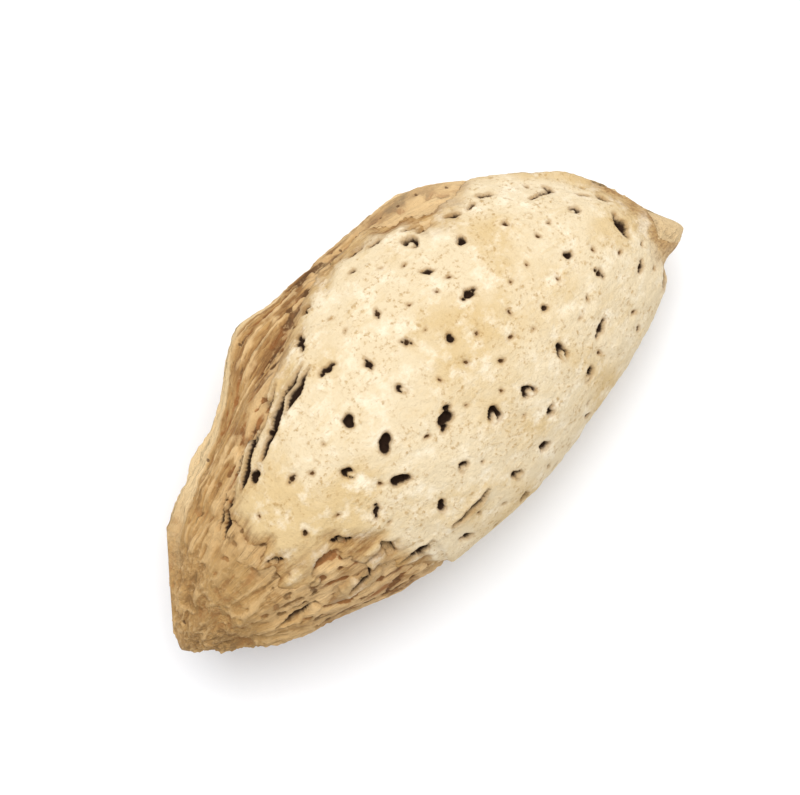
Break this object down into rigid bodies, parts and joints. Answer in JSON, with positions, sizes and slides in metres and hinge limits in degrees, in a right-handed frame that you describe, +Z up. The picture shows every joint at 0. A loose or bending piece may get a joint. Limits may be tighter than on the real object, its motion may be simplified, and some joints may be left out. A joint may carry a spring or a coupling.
{
  "type": "almond in shell",
  "caption": "Whole almond in its shell, lying on one broad face: pointed apex, keeled edge, pitted corky skin torn away along the keel and at the stem end.",
  "frame": {"origin": "middle of the nut's footprint box, on the surface that it lies on", "axes": "+X from the stem end to the apex, +Y to the keeled edge, +Z up"},
  "size_m": [0.033, 0.0162, 0.0129],
  "materials": {
    "nutshell": "matt, pale and corky, brown and fibrous where the skin has worn away"
  },
  "bodies": {
    "root": {"nut": "nutshell"}
  },
  "joints": []
}
